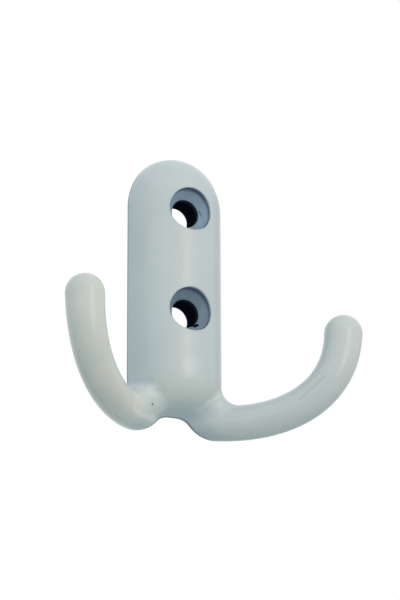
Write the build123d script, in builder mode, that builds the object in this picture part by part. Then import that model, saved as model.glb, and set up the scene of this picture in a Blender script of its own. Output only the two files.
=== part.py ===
from build123d import *
import os
from math import cos, radians, sin

# Double coat hook, one pressure die casting in millimetres.
# The wall is the plane y = 0 and the hook stands out from it towards -Y, with +Z up.
# The origin is on the wall, halfway between the two screw holes.

# --- Driving dimensions -----------------------------------------------------

# Body: a half-round bar with a domed head, standing flat on the wall
body_radius = 9.0
body_sink = 0.7  # the bar's axis lies this far behind the wall
head_height = 21.5  # top of the domed head above the origin
head_dome = 10.4  # height over which the head is domed
foot_height = 27.5  # lowest edge of the body below the origin, on the wall
foot_slope = 20.0  # degrees, the underside rises towards the front
foot_land = 2.3  # the rounding between front and underside is this much smaller than the body is deep

# Screw holes: two, one above the other, for countersunk wood screws
screw_spacing = 19.0
screw_clearance = 5.2  # diameter of the bore
head_clearance = 8.2  # diameter of the countersink
countersink_angle = 90.0
head_recess = 1.7  # the countersink starts this far below the crest
bore_chamfer = 0.5  # where the bore leaves the flat back

# Arms: two mirrored prongs that leave the foot forwards and sideways, dip and sweep up
arm_angle = 45.0  # degrees between an arm's own upright plane and the wall
arm_spacing = 14.5  # between the arms' centre lines, on the wall
arm_lift = 0.1  # of the centre lines above the foot's lowest edge, on the wall
arm_reach = 25.1  # from the wall out to the tip's centre, in the arm's plane
arm_rise = 13.8  # from the wall end of the centre line up to the tip's centre
leaving_angle = 10.6  # degrees below the level at the wall
leaving_pull = 12.3  # how strongly the centre line keeps that direction
tip_angle = 87.0  # degrees above the level at the tip
tip_pull = 12.7  # how strongly the centre line keeps that direction
waist_diameter = 6.3  # the arm's slimmest part
root_diameter = 6.5  # at the wall
tip_diameter = 6.85  # the slightly bulbous end, closed by a half ball
root_share = 8  # the higher, the sooner the root's extra diameter is gone
tip_share = 3  # the higher, the later the tip's extra diameter comes
root_blend = 3.2  # fillet between each arm and the body

# The arms are lofted from behind the wall, where they are wider, and cut off by it
flare_diameter = 7.6
flare_length = 5.4
arm_sections = 9

# --- Sizes that follow ------------------------------------------------------

body_depth = body_radius - body_sink  # from the wall to the crest
dome_start = head_height - head_dome
foot_round = body_depth - foot_land
bar_end = -2 * foot_height  # the bar is cut to length at the foot
foot_tilt = radians(foot_slope)
arm_turn = radians(arm_angle)
leaving = radians(leaving_angle)
arriving = radians(tip_angle)
seat_height = body_depth - head_recess  # of the countersink above the wall

# The right arm's upright plane: its X runs outwards from the wall and its Y runs up
arm_plane = Plane(
    origin=(arm_spacing / 2, 0, arm_lift - foot_height),
    x_dir=(cos(arm_turn), -sin(arm_turn), 0),
    z_dir=(-sin(arm_turn), -cos(arm_turn), 0),
)


def arm_diameter(t):
    """The waist plus the root's extra, which fades as a power of 1 - t, and the tip's, as a power of t."""
    root_extra = (root_diameter - waist_diameter) * (1 - t) ** root_share
    tip_extra = (tip_diameter - waist_diameter) * t**tip_share
    return waist_diameter + root_extra + tip_extra


def section_plane(route, t, behind=0.0):
    """The plane square to the route at t from 0 to 1, moved back by a length along the route.

    Its X points down in the arm's plane, so the loft's seam lies along the underside.
    """
    along = route.tangent_at(t, position_mode=PositionMode.PARAMETER)
    centre = route.position_at(t, position_mode=PositionMode.PARAMETER) - along * behind
    return Plane(origin=centre, x_dir=along.cross(arm_plane.z_dir), z_dir=along)


# --- Body -------------------------------------------------------------------

with BuildPart() as body:
    # A round bar with an elliptical head, turned about an upright axis behind the wall
    with BuildSketch(Plane.XZ.offset(-body_sink)):
        with BuildLine():
            Polyline((0, head_height), (0, bar_end), (body_radius, bar_end), (body_radius, dome_start))
            EllipticalCenterArc((0, dome_start), body_radius, head_dome, start_angle=0, arc_size=90)
        make_face()
    revolve(axis=Axis((0, body_sink, 0), (0, 0, -1)))
    # The wall cuts it flat
    split(bisect_by=Plane.XZ, keep=Keep.TOP)
    # The underside slopes up towards the front and meets it in a rounded edge
    underside = Plane(origin=(0, 0, -foot_height), z_dir=(0, sin(foot_tilt), cos(foot_tilt)))
    split(bisect_by=underside, keep=Keep.TOP)
    front_edge = body.faces().sort_by(Axis.Z)[0].edges().filter_by(GeomType.ELLIPSE)
    fillet(front_edge, foot_round)

# --- Right arm --------------------------------------------------------------

with BuildPart() as arm:
    with BuildLine(arm_plane) as centre_line:
        Bezier(
            (0, 0),
            (leaving_pull * cos(leaving), -leaving_pull * sin(leaving)),
            (arm_reach - tip_pull * cos(arriving), arm_rise - tip_pull * sin(arriving)),
            (arm_reach, arm_rise),
        )
    arm_route = centre_line.edge()
    with BuildSketch(section_plane(arm_route, 0, behind=flare_length)):
        Circle(flare_diameter / 2)
    for section in range(arm_sections):
        share = section / (arm_sections - 1)
        with BuildSketch(section_plane(arm_route, share)):
            Circle(arm_diameter(share) / 2)
    loft()
    # The half ball that closes the tip
    with Locations(section_plane(arm_route, 1)):
        Sphere(tip_diameter / 2, arc_size1=0, align=(Align.CENTER, Align.CENTER, Align.MIN))
    split(bisect_by=Plane.XZ, keep=Keep.TOP)

# --- Coat hook --------------------------------------------------------------

with BuildPart() as coat_hook:
    add(body.part)
    add(arm.part)
    left_arm = mirror(arm.part, about=Plane.YZ)
    seams = new_edges(body.part, arm.part, left_arm, combined=coat_hook.part)
    fillet(seams, root_blend)

    # Screw holes, drilled from the front, with the screw heads sunk below the crest
    hole_heights = (-screw_spacing / 2, screw_spacing / 2)
    seats = [Plane((0, -seat_height, height), x_dir=(1, 0, 0), z_dir=(0, -1, 0)) for height in hole_heights]
    with Locations(*seats):
        CounterSinkHole(screw_clearance / 2, head_clearance / 2, counter_sink_angle=countersink_angle)
    back_face = coat_hook.faces().sort_by(Axis.Y)[-1]
    chamfer(back_face.edges().filter_by(GeomType.CIRCLE), bore_chamfer)

coat_hook.part.label = "coat_hook"
os.makedirs("parts", exist_ok=True)
export_step(coat_hook.part, "parts/coat_hook.step")

box = coat_hook.part.bounding_box()
print("coat_hook", [round(size, 2) for size in box.size], "mm", round(coat_hook.part.volume / 1000, 3), "cm3")
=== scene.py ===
# %% [markdown]
# # A double coat hook, dressed for its portrait
# The hook is one small die casting with a light grey powder coat. Its solid comes ready made as
# the frame, in metres, standing on the wall plane y = 0 with +Z up and its front towards -Y.
# Its shape is right as it stands, so the whole task here is its finish, its light and its camera.

# %% Load the frame
from math import cos, pi, radians, sin

import bpy
from mathutils import Matrix, Vector

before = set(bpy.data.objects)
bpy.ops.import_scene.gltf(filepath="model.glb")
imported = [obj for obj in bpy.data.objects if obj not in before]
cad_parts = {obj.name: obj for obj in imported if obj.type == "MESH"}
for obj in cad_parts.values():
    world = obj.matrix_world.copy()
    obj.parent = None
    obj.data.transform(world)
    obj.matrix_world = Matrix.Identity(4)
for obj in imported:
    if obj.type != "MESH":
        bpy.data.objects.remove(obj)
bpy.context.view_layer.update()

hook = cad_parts["coat_hook"]
scene = bpy.context.scene
millimetre = 0.001

# %% [markdown]
# ## Camera
# A small product is looked at from half a metre with a long lens, so its sides stay nearly
# parallel. The camera stands to the left and below, as when a hook on the wall is looked up at.
# A tracking constraint could aim it, but would keep it level, and a held camera is never quite
# level. So its three axes are worked out from two angles and a slight roll, and become the
# columns of its matrix. Every number is then one that could be measured at the tripod.

# %% Camera
camera_distance = 0.51
camera_azimuth = radians(-26.17)
camera_elevation = radians(-19.67)
camera_roll = radians(-0.23)
look_at = Vector((0.00383, -0.00336, -0.00579))
lens_in_sensor_widths = 7.119


def direction(azimuth, elevation):
    """The unit vector at an azimuth from the front, positive to the right, and an elevation."""
    return Vector((sin(azimuth) * cos(elevation), -cos(azimuth) * cos(elevation), sin(elevation)))


backwards = direction(camera_azimuth, camera_elevation)
level_right = Vector((cos(camera_azimuth), sin(camera_azimuth), 0))
level_up = backwards.cross(level_right)
right = level_right * cos(camera_roll) + level_up * sin(camera_roll)
up = level_up * cos(camera_roll) - level_right * sin(camera_roll)

camera_data = bpy.data.cameras.new("portrait_camera")
camera_data.sensor_fit = "HORIZONTAL"
camera_data.lens = camera_data.sensor_width * lens_in_sensor_widths
camera = bpy.data.objects.new("portrait_camera", camera_data)
turn = Matrix((right, up, backwards)).transposed().to_4x4()
camera.matrix_world = Matrix.Translation(look_at + backwards * camera_distance) @ turn
scene.collection.objects.link(camera)
scene.camera = camera
camera_place = [round(value, 3) for value in camera.matrix_world.translation]
print("lens", round(camera_data.lens, 1), "mm, camera at", camera_place)

# %% [markdown]
# ## Sky
# A white sweep gives a product picture its clean ground. More light would whiten the ground too,
# but would wash the pale coat out. So the sky is plain white to the camera, in mirrors and
# through glass, while the casting is lit by a dimmer and slightly blue white. A Light Path node
# tells which kind of ray is looking, and the larger of its three answers picks the white sky.

# %% Sky
lighting_colour, lighting_strength = (0.84, 0.94, 1.0, 1), 0.72
seen_colour, seen_strength = (1, 1, 1, 1), 1.0

scene.view_settings.view_transform = "Standard"
world = bpy.data.worlds.new("studio")
scene.world = world
world.use_nodes = True
sky_nodes, sky_links = world.node_tree.nodes, world.node_tree.links


def larger(first, second):
    """The larger of two outputs in the sky's node tree."""
    node = sky_nodes.new("ShaderNodeMath")
    node.operation = "MAXIMUM"
    sky_links.new(first, node.inputs[0])
    sky_links.new(second, node.inputs[1])
    return node.outputs[0]


lighting_sky = sky_nodes["Background"]
lighting_sky.inputs["Color"].default_value = lighting_colour
lighting_sky.inputs["Strength"].default_value = lighting_strength
seen_sky = sky_nodes.new("ShaderNodeBackground")
seen_sky.inputs["Color"].default_value = seen_colour
seen_sky.inputs["Strength"].default_value = seen_strength
rays = sky_nodes.new("ShaderNodeLightPath").outputs
mirror_or_glass = larger(rays["Is Glossy Ray"], rays["Is Transmission Ray"])
chosen_sky = sky_nodes.new("ShaderNodeMixShader")
sky_links.new(larger(rays["Is Camera Ray"], mirror_or_glass), chosen_sky.inputs["Fac"])
sky_links.new(lighting_sky.outputs[0], chosen_sky.inputs[1])
sky_links.new(seen_sky.outputs[0], chosen_sky.inputs[2])
sky_links.new(chosen_sky.outputs[0], sky_nodes["World Output"].inputs["Surface"])
print("sky lights at", lighting_strength, "and is seen at", seen_strength)

# %% [markdown]
# ## Floor
# The hook hangs on a wall that isn't shown, so the floor lies well below it. There it catches
# the shadow and sends a little warm light up to the undersides of the arms. One pale matt square
# is enough; it is no part of the product.

# %% Floor
floor_height = -0.8
floor_size = 10.0
floor_colour = (0.80, 0.79, 0.745, 1)
floor_roughness = 0.8

corner_signs = ((-1, -1), (1, -1), (1, 1), (-1, 1))
floor_corners = [(across * floor_size / 2, deep * floor_size / 2, floor_height)
                 for across, deep in corner_signs]
floor_mesh = bpy.data.meshes.new("floor")
floor_mesh.from_pydata(floor_corners, [], [(0, 1, 2, 3)])
floor = bpy.data.objects.new("floor", floor_mesh)
scene.collection.objects.link(floor)
floor_paint = bpy.data.materials.new("floor_paint")
floor_paint.use_nodes = True
floor_shader = floor_paint.node_tree.nodes["Principled BSDF"]
floor_shader.inputs["Base Color"].default_value = floor_colour
floor_shader.inputs["Roughness"].default_value = floor_roughness
floor_mesh.materials.append(floor_paint)
print("floor", floor_size, "m square at", floor_height, "m")

# %% [markdown]
# ## Lamps
# The band of light down the plate and along both arms is one softbox, close by and tall, a
# little to the right of the front. Close is what lets it stand in a different place on the left
# arm than on the right one. Three broad warm fills round the form. They stay out of the gloss, as
# light does that has come off the walls of a room.

# %% Lamps
fill_distance = 1.0
fill_size = 0.6


def softbox(name, azimuth, elevation, distance, size, watts, colour, in_gloss):
    """An area lamp aimed at the origin; one size makes it round and two make it a rectangle."""
    data = bpy.data.lights.new(name, "AREA")
    data.shape = "RECTANGLE" if len(size) == 2 else "DISK"
    data.size = size[0]
    if len(size) == 2:
        data.size_y = size[1]
    data.energy = watts
    data.color = colour
    lamp = bpy.data.objects.new(name, data)
    away = direction(radians(azimuth), radians(elevation))
    aim = away.to_track_quat("Z", "Y").to_matrix().to_4x4()
    lamp.matrix_world = Matrix.Translation(away * distance) @ aim
    lamp.visible_glossy = in_gloss
    scene.collection.objects.link(lamp)
    print(name, watts, "W")


def fill(name, azimuth, elevation, watts, colour):
    """A round lamp that lights the hook and isn't mirrored in it."""
    softbox(name, azimuth, elevation, fill_distance, (fill_size,), watts, colour, in_gloss=False)


softbox("near_softbox", azimuth=11, elevation=0, distance=0.3, size=(0.11, 0.26), watts=0.17,
        colour=(1.0, 0.84, 0.64), in_gloss=True)
fill("front_fill", azimuth=0, elevation=30, watts=2.7, colour=(1.0, 0.78, 0.74))
fill("left_fill", azimuth=-60, elevation=0, watts=1.0, colour=(1.0, 0.80, 0.60))
fill("right_fill", azimuth=60, elevation=0, watts=0.7, colour=(1.0, 0.60, 0.40))

# %% [markdown]
# ## A small kit for the finish
# A powder coat has no seams and no pattern, but it changes from place to place: thin in a hole,
# thick in a corner. So the finish is worked out in the shader from where each point lies on the
# casting. An image could hold it too, but would have to be unwrapped and painted. Each helper
# adds its nodes and returns their output, which keeps the rules below short enough to read. Most
# of the rules make masks. A mask is 1 where something holds, 0 where it doesn't, and soft between.

# %% Shader helpers
coat = bpy.data.materials.new("powder_coat")
coat.use_nodes = True
nodes, links = coat.node_tree.nodes, coat.node_tree.links
shader = nodes["Principled BSDF"]


def add(kind, **options):
    """A new node of the coat, with its options set."""
    node = nodes.new("ShaderNode" + kind)
    for option, value in options.items():
        setattr(node, option, value)
    return node


def feed(value, socket):
    """Links an output to a socket, or writes a plain value on it; a colour is made opaque."""
    if isinstance(value, bpy.types.NodeSocket):
        links.new(value, socket)
    else:
        socket.default_value = (*value, 1) if socket.type == "RGBA" else value


def calc(operation, first, second=0.0):
    """One sum on numbers, such as ADD, MULTIPLY or MAXIMUM."""
    node = add("Math", operation=operation)
    feed(first, node.inputs[0])
    feed(second, node.inputs[1])
    return node.outputs[0]


def ramp(value, start, end):
    """0 at start and 1 at end with an S-curve between them; start may be the higher one."""
    node = add("MapRange", interpolation_type="SMOOTHSTEP")
    feed(value, node.inputs["Value"])
    feed(start, node.inputs["From Min"])
    feed(end, node.inputs["From Max"])
    return node.outputs["Result"]


def both(*masks):
    """Where all the masks hold: their product."""
    product = masks[0]
    for mask in masks[1:]:
        product = calc("MULTIPLY", product, mask)
    return product


def mix(factor, base, top, blend="MIX"):
    """Two colours mixed by a mask; the colour sockets of a Mix node are 6, 7 and output 2."""
    node = add("Mix", data_type="RGBA", blend_type=blend)
    feed(factor, node.inputs[0])
    feed(base, node.inputs[6])
    feed(top, node.inputs[7])
    return node.outputs[2]


print("shader helpers ready")

# %% [markdown]
# ## Places in millimetres
# The solid's own coordinates, turned into millimetres, say where a point lies, and its normal
# says which way the surface faces there. Both belong to the casting, so a mark stays put when
# the camera moves. A mark is a point, a line or a bent path with a soft edge round it, which
# needs only the distance from the point that is being coloured to the nearest place on the path.

# %% Places and distances
def vector_calc(operation, first, second, output=0):
    """One sum on vectors; output 1 is the number that DISTANCE and DOT_PRODUCT give."""
    node = add("VectorMath", operation=operation)
    feed(first, node.inputs[0])
    feed(second, node.inputs[1])
    return node.outputs[output]


def scaled(vector, factor):
    """A vector made longer or shorter by a factor."""
    node = add("VectorMath", operation="SCALE")
    feed(vector, node.inputs[0])
    feed(factor, node.inputs["Scale"])
    return node.outputs[0]


def components(vector):
    """The x, y and z of a vector, as three outputs."""
    node = add("SeparateXYZ")
    feed(vector, node.inputs[0])
    return tuple(node.outputs)


casting = add("TexCoord").outputs
place = scaled(casting["Object"], 1 / millimetre)
x, y, z = components(place)
normal_x, normal_y, normal_z = components(casting["Normal"])


def hypotenuse(first, second):
    """The square root of the sum of two squares."""
    squares = calc("ADD", calc("MULTIPLY", first, first), calc("MULTIPLY", second, second))
    return calc("SQRT", squares)


def distance_to_line(start, end):
    """How far the place is from the stretch between two points.

    The share along the stretch is the dot product of (place - start) and (end - start), over
    the length squared, held to 0..1. The nearest point is start plus that share of the stretch.
    """
    start, end = Vector(start), Vector(end)
    along = end - start
    from_start = vector_calc("SUBTRACT", place, start)
    share = vector_calc("DOT_PRODUCT", from_start, along / along.length_squared, output=1)
    held = add("Clamp")
    feed(share, held.inputs["Value"])
    return vector_calc("DISTANCE", from_start, scaled(along, held.outputs[0]), output=1)


def near(points, outer, inner):
    """1 within the inner distance of a point or a path of points, and 0 beyond the outer one."""
    if len(points) == 1:
        return ramp(vector_calc("DISTANCE", place, points[0], output=1), outer, inner)
    nearest = distance_to_line(points[0], points[1])
    for start, end in zip(points[1:], points[2:]):
        nearest = calc("MINIMUM", nearest, distance_to_line(start, end))
    return ramp(nearest, outer, inner)


def noise(scale, detail):
    """Cloudy noise around 0.5, whose scale is how many clouds there are in a millimetre."""
    node = add("TexNoise")
    node.inputs["Scale"].default_value = scale
    node.inputs["Detail"].default_value = detail
    feed(place, node.inputs["Vector"])
    return node.outputs["Fac"]


print("places and distances ready,", len(nodes), "nodes")

# %% [markdown]
# ## The screw holes
# Each screw hole has zones of its own: a bore at the wall, and a countersink with a cone for the
# screw's head and a short straight step out to the face. Their shade is painted into their colour.
# A material for each zone would meet the next in a hard line, and masks don't. Both holes are
# alike and mirror each other about z = 0, so the absolute value of z lets one set of rules serve
# the two.
# A seam runs round where the cone meets the step.

# %% Screw holes
hole_spacing = 19.0  # from axis to axis
seat_radius = 4.1  # of the step
back_bore_radius = 3.1  # of the bore at its chamfered back, where it is widest
bore_top = -5.1  # the y where the bore ends and the cone begins
seat_top = -6.6  # the y where the cone ends and the step begins
skin = 0.06  # how far a zone reaches past its hole's wall, to be sure of the wall itself
soft_edge = 0.1  # how long one zone takes to fade into the next
seam_width, seam_core = 0.5, 0.1
# the painted shade ring round a hole's mouth
lip_width, lip_core = 0.35, 0.05  # of the darker ring round a hole's mouth

hole_z = calc("SUBTRACT", calc("ABSOLUTE", z), hole_spacing / 2)
hole_distance = hypotenuse(x, hole_z)
in_bore = both(ramp(hole_distance, back_bore_radius + skin, back_bore_radius),
               ramp(y, bore_top - soft_edge, bore_top))
in_countersink = both(ramp(hole_distance, seat_radius + skin, seat_radius + 0.02),
                      ramp(y, bore_top, bore_top - soft_edge))
in_hole = calc("ADD", in_bore, in_countersink)
on_step = both(in_countersink, ramp(y, seat_top + soft_edge / 2, seat_top - soft_edge / 2))
on_cone = calc("SUBTRACT", in_countersink, on_step)
seam_distance = hypotenuse(calc("SUBTRACT", hole_distance, seat_radius),
                           calc("SUBTRACT", y, seat_top))
seam = both(in_countersink, ramp(seam_distance, seam_width, seam_core))
# painted shade round each hole's mouth
hole_lip_shade = both(ramp(hole_distance, seat_radius + lip_width, seat_radius + lip_core),
                ramp(hole_distance, seat_radius, seat_radius + 0.04))
print("screw holes ready,", len(nodes), "nodes")

# %% [markdown]
# ## Body, arms and foot
# Light and shade are painted into the coat in broad soft zones: painted shade on the two flanks,
# the undersides and the corner of the foot, a painted contact shadow along the rim at the wall,
# and painted warm light on the arms' upper ends, the left arm, its elbow and the front of the
# foot.
# Painted vertices could mark them, but a casting's flat faces have none in the middle.
# Plain rules do it better. The plate is a half-round bar, so the distance from its axis tells the
# body from the arms, and also the rounded rim of a step from its depth.

# %% Body, arms and foot
body_radius = 9.0  # of the half-round plate
body_axis_y = 0.7  # of its axis, which lies a little behind the wall plane

axis_distance = hypotenuse(x, calc("SUBTRACT", y, body_axis_y))
on_body = ramp(axis_distance, body_radius + 1, body_radius)
on_arms = ramp(axis_distance, body_radius + 0.3, body_radius + 4)
# painted warm light on the left arm, the arms' upper ends and the left elbow
left_arm_painted_warm_light = both(on_arms, ramp(x, -5, -8))
arm_ends_painted_light = both(on_arms, ramp(z, -28, -16))
left_elbow_painted_light = near(((-20.4, -15.9, -27.0), (-8.8, -6.4, -28.2)), outer=3.4, inner=1.0)
# painted shade on the flanks and undersides, painted light on the foot's front, painted shade in
# its corner
left_flank_shade = both(ramp(x, -6.0, -8.2), on_body)
right_flank_shade = both(ramp(normal_x, 0.45, 0.75), ramp(x, 2, 5))
underside_shade = both(ramp(normal_z, -0.3, -0.9), ramp(y, -6, -1.5))
foot_front_light = both(ramp(z, -20.5, -23), ramp(y, -3.5, -5.5), on_body)
foot_corner_shade = both(near(((0.3, -0.6, -27.6), (7.0, -0.6, -30.0)), outer=3.6, inner=0.6),
                   ramp(x, 11, 7))
# painted contact shadow along the rim at the wall
wall_contact_shadow = both(ramp(y, -0.5, -0.12), ramp(normal_y, 0.7, 0.3))
on_back = ramp(normal_y, 0.8, 0.95)
rim_round = ramp(axis_distance, body_radius - 0.6, body_radius - 0.35)
print("body, arms and foot ready,", len(nodes), "nodes")

# %% [markdown]
# ## Painted highlights and shade in the corners
# Where the left arm runs into the body, a pale cap, lumpy in its relief, with a bright uneven edge
# is painted as a highlight on the fillet, with a painted shade above it, and on the right a pale
# crease is painted as a highlight. Each follows a path over the casting, and noise breaks its edge
# up. Right of the plate's crest the coat gets a painted shade, and one soft spot under the lower
# hole a painted highlight.

# %% Painted corner highlights and shade
left_cap_line = ((-9.8, -7.0, -27.9), (-4.4, -3.2, -26.9))
cap_edge_path = ((-6.0, -4.8, -24.4), (-4.7, -4.1, -25.6), (-3.5, -2.6, -26.8))
left_shade_line = ((-8.6, -2.4, -22.6), (-6.6, -5.0, -23.0))
crease_path = ((1.8, -2.6, -26.6), (3.42, -3.42, -26.22), (4.88, -4.47, -25.21),
               (6.76, -4.66, -23.71))

uneven = noise(0.9, detail=4)
# painted highlights on the left cap, its edge and the right crease; painted shade above the cap
# and right of the crest; a painted highlight spot
left_cap_highlight_and_lumps = near(left_cap_line, outer=3.0, inner=1.7)
cap_edge_highlight = both(near(cap_edge_path, outer=1.5, inner=0.2), ramp(uneven, 0.1, 0.5))
left_shade = near(left_shade_line, outer=1.1, inner=0.2)
right_crease_highlight = both(near(crease_path, outer=0.8, inner=0.2), ramp(uneven, 0.2, 0.6),
                    ramp(x, 1.5, 5))
crest_band_shade = both(ramp(x, 0.2, 2.2), on_body, ramp(z, -22, -18))
painted_highlight_spot = near(((-0.3, -8.3, -20.2),), outer=2.3, inner=0.9)
print("painted corner light ready,", len(nodes), "nodes")

# %% [markdown]
# ## Small marks
# A cast part from a barrel is never spotless. It has three specks, a tick from the countersink
# in the upper hole, a blob of black in the lower one and a scratch on the right arm, each drawn
# at its measured place. The two halves of the die met along the arms and left a thin line under
# them, where the surface stands nearly square to the wall, so the normal alone can find it.

# %% Small marks
speck_list = (
    # place, radius, darkness
    ((-5.63, -3.57, -26.75), 0.26, 0.8),
    ((-8.74, -1.44, -17.69), 0.2, 0.25),
    ((-25.48, -16.82, -23.69), 0.25, 0.12),
)
tick_darkness = 0.7
parting_tilt = 0.12  # how far the normal leans forwards on the line

specks = 0.0
for speck_place, radius, darkness in speck_list:
    speck = both(near((speck_place,), outer=radius, inner=radius / 2), darkness)
    specks = calc("MAXIMUM", specks, speck)
tick = near(((2.75, -5.35, 10.35), (3.0, -5.5, 9.55)), outer=0.16, inner=0.04)
blob = near(((2.15, -5.45, -11.5), (1.8, -5.3, -11.75)), outer=0.42, inner=0.30)
scratch = near(((17.69, -14.95, -25.74), (20.82, -18.14, -22.18)), outer=0.4, inner=0.05)
off_parting = calc("ABSOLUTE", calc("ADD", normal_y, parting_tilt))
parting_line = both(on_arms, ramp(z, -20, -24), ramp(off_parting, 0.07, 0.02))
print("small marks ready,", len(nodes), "nodes")

# %% [markdown]
# ## Colour of the coat
# Powder coat is a thin even film of plastic, melted on. Its grey carries faint clouds, where the
# film is a few hundredths thicker, and a fine grain. Each zone and mark then tints it, most of
# them by less than an eighth. Most of the zones paint light and shade into the grey; the grain,
# the parting line and the scratch are the coat's own. The mixes could be written one by one, but a
# list of masks and tints shows them side by side, and one loop adds them all: a tint above 1
# lightens the grey that it multiplies and a tint below 1 darkens it.

# %% Coat colour
thin_grey, thick_grey = (0.481, 0.562, 0.576), (0.503, 0.584, 0.597)

clouds = noise(0.12, detail=3)
grain = noise(2.5, detail=2)
coat_tints = (
    (ramp(grain, 0.35, 0.65), (0.99, 0.99, 0.99)),
    # painted warm light on the arms' upper ends, the left arm and its elbow
    (arm_ends_painted_light, (1.04, 1.025, 1.0)),
    (left_arm_painted_warm_light, (1.06, 1.02, 0.975)),
    (left_elbow_painted_light, (1.10, 1.07, 1.03)),
    # painted shade on the right flank, right of the crest and on the left flank; a painted
    # highlight spot
    (right_flank_shade, (0.81, 0.82, 0.83)),
    (crest_band_shade, (0.965, 0.98, 0.995)),
    (left_flank_shade, (0.955, 0.965, 0.985)),
    (painted_highlight_spot, (1.055, 1.05, 1.055)),
    # painted shade on the undersides, painted light on the foot's front, painted shade in its
    # corner
    (underside_shade, (0.88, 0.92, 0.95)),
    (foot_front_light, (1.08, 1.07, 1.04)),
    (foot_corner_shade, (0.90, 0.92, 0.95)),
    # painted highlights on the left cap, its edge and the right crease; painted shade above the
    # cap
    (left_cap_highlight_and_lumps, (1.12, 1.10, 1.07)),
    (cap_edge_highlight, (1.14, 1.14, 1.15)),
    (left_shade, (0.88, 0.90, 0.94)),
    (right_crease_highlight, (1.16, 1.15, 1.14)),
    (parting_line, (0.89, 0.92, 0.95)),
    (scratch, (0.88, 0.88, 0.90)),
    # painted shade round each hole's mouth
    (hole_lip_shade, (0.88, 0.91, 0.94)),
)
colour = mix(ramp(clouds, 0.3, 0.7), thin_grey, thick_grey)
for mask, tint in coat_tints:
    colour = mix(mask, colour, tint, "MULTIPLY")
print("coat in", len(coat_tints), "tints,", len(nodes), "nodes")

# %% [markdown]
# ## Colour in the holes, on the back and along the wall
# Inside the countersinks the cones are painted a darker blue-grey as their shade, a little lighter
# in the upper hole, and the tool's rings show on them. The step is painted darker still as shade,
# up to its rounded rim, which is painted paler than the coat as light. The bores are painted
# nearly black as their shade. The back, which the spray only grazes, is a darker grey, and a
# painted contact shadow draws a line along the wall. A sine of the distance from the hole's axis
# makes the rings, and noise makes them waver, as a hand-held countersink does.

# %% Holes, back and wall shadow
ring_pitch = 0.3  # from ring to ring
ring_waver = 0.8  # how far a ring strays from its circle
ring_tint = (0.90, 0.91, 0.93)
# painted shade in the cones; painted shade on the step and painted light on its rim
lower_cone_shade_grey, upper_cone_shade_grey = (0.19, 0.275, 0.365), (0.255, 0.37, 0.485)
cone_cloud_tint = (1.12, 1.10, 1.08)
step_shade_grey, rim_light_grey = (0.115, 0.17, 0.24), (0.66, 0.72, 0.73)
seam_tint = (0.62, 0.68, 0.76)
back_grey = (0.44, 0.52, 0.54)
# painted shade in the bores
bore_mouth_shade_black, bore_shade_black = (0.09, 0.13, 0.18), (0.018, 0.026, 0.045)
bore_fade = 1.2  # how far into the bore it takes to go black
# painted contact shadow at the wall
wall_contact_shadow_tint = (0.45, 0.47, 0.50)
mark_black = (0.01, 0.012, 0.015)

wavered = calc("ADD", hole_distance, calc("MULTIPLY", noise(0.5, detail=2), ring_waver))
wave = calc("SINE", calc("MULTIPLY", wavered, 2 * pi / ring_pitch))
rings = both(calc("ADD", calc("MULTIPLY", wave, 0.5), 0.5), on_cone)
cone_clouds = both(on_cone, ramp(uneven, 0.35, 0.6))
# the cones' painted shade
colour = mix(on_cone, colour, mix(ramp(z, -1, 1), lower_cone_shade_grey, upper_cone_shade_grey))
colour = mix(rings, colour, ring_tint, "MULTIPLY")
colour = mix(cone_clouds, colour, cone_cloud_tint, "MULTIPLY")
# the step's painted shade and its rim's painted light
colour = mix(on_step, colour, mix(rim_round, step_shade_grey, rim_light_grey))
colour = mix(seam, colour, seam_tint, "MULTIPLY")
colour = mix(both(on_back, calc("SUBTRACT", 1.0, in_hole)), colour, back_grey)
into_bore = ramp(y, bore_top, bore_top + bore_fade)
# the bores' painted shade
colour = mix(in_bore, colour, mix(into_bore, bore_mouth_shade_black, bore_shade_black))
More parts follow.
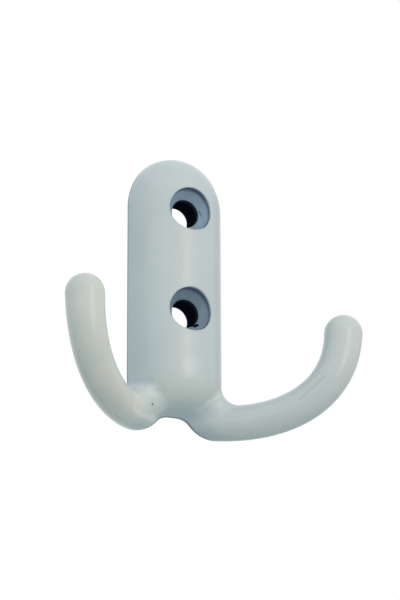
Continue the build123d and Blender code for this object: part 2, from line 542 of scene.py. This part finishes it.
# the painted contact shadow along the wall
colour = mix(wall_contact_shadow, colour, wall_contact_shadow_tint, "MULTIPLY")
black_marks = calc("MAXIMUM", specks, calc("MAXIMUM", calc("MULTIPLY", tick, tick_darkness), blob))
colour = mix(black_marks, colour, mark_black)
feed(colour, shader.inputs["Base Color"])
print("colour ready,", len(nodes), "nodes")

# %% [markdown]
# ## Gloss
# The film is half gloss: it mirrors the softbox as a soft upright band. It is a little duller
# where the clouds are thick, and much duller in the countersinks and on the cap's painted edge
# highlight. The bores, painted black as their shade, and the blob, which has no film, are set as a
# metal that mirrors nothing, fully rough and with a black tint on its reflection, because a black
# plastic would still carry a grey sheen of the white surroundings.

# %% Gloss
coat_roughness = 0.22
cloud_roughness = 0.05  # added where the clouds are thick
dull_roughness = 0.25  # added in the holes and on the edge of the cap

rough = calc("ADD", calc("MULTIPLY", ramp(clouds, 0.2, 0.8), cloud_roughness), coat_roughness)
dull = calc("MAXIMUM", in_hole, cap_edge_highlight)
rough = calc("ADD", rough, calc("MULTIPLY", dull, dull_roughness))
blackened = calc("MAXIMUM", in_bore, blob)
feed(calc("MAXIMUM", rough, blackened), shader.inputs["Roughness"])
feed(blackened, shader.inputs["Metallic"])
feed(mix(blackened, (1, 1, 1), (0, 0, 0)), shader.inputs["Specular Tint"])
print("roughness", coat_roughness, "to", coat_roughness + cloud_roughness, "on the open coat")

# %% [markdown]
# ## Relief
# Close to, the film has a faint orange peel, the cones keep the countersink's rings, the parting
# line stands up, the cap is lumpy and the specks are pits. All of it is a tenth of a millimetre or
# less, which is too fine for the mesh, so a Bump node bends the light instead. Heights are added
# up in millimetres, and the node's distance turns them into the metres of the scene.

# %% Relief
peel_height = 0.004
relief_heights = (
    (rings, 0.012),
    (parting_line, 0.012),
    (both(left_cap_highlight_and_lumps, uneven), 0.03),
    (specks, -0.1),
)

relief = calc("MULTIPLY", noise(1.1, detail=1), peel_height)
for mask, height in relief_heights:
    relief = calc("ADD", relief, calc("MULTIPLY", mask, height))
bump = add("Bump")
bump.inputs["Strength"].default_value = 1.0
bump.inputs["Distance"].default_value = millimetre
feed(relief, bump.inputs["Height"])
feed(bump.outputs["Normal"], shader.inputs["Normal"])

for slot in hook.material_slots:
    slot.material = coat
print("coat on", len(hook.material_slots), "slot,", len(nodes), "nodes")
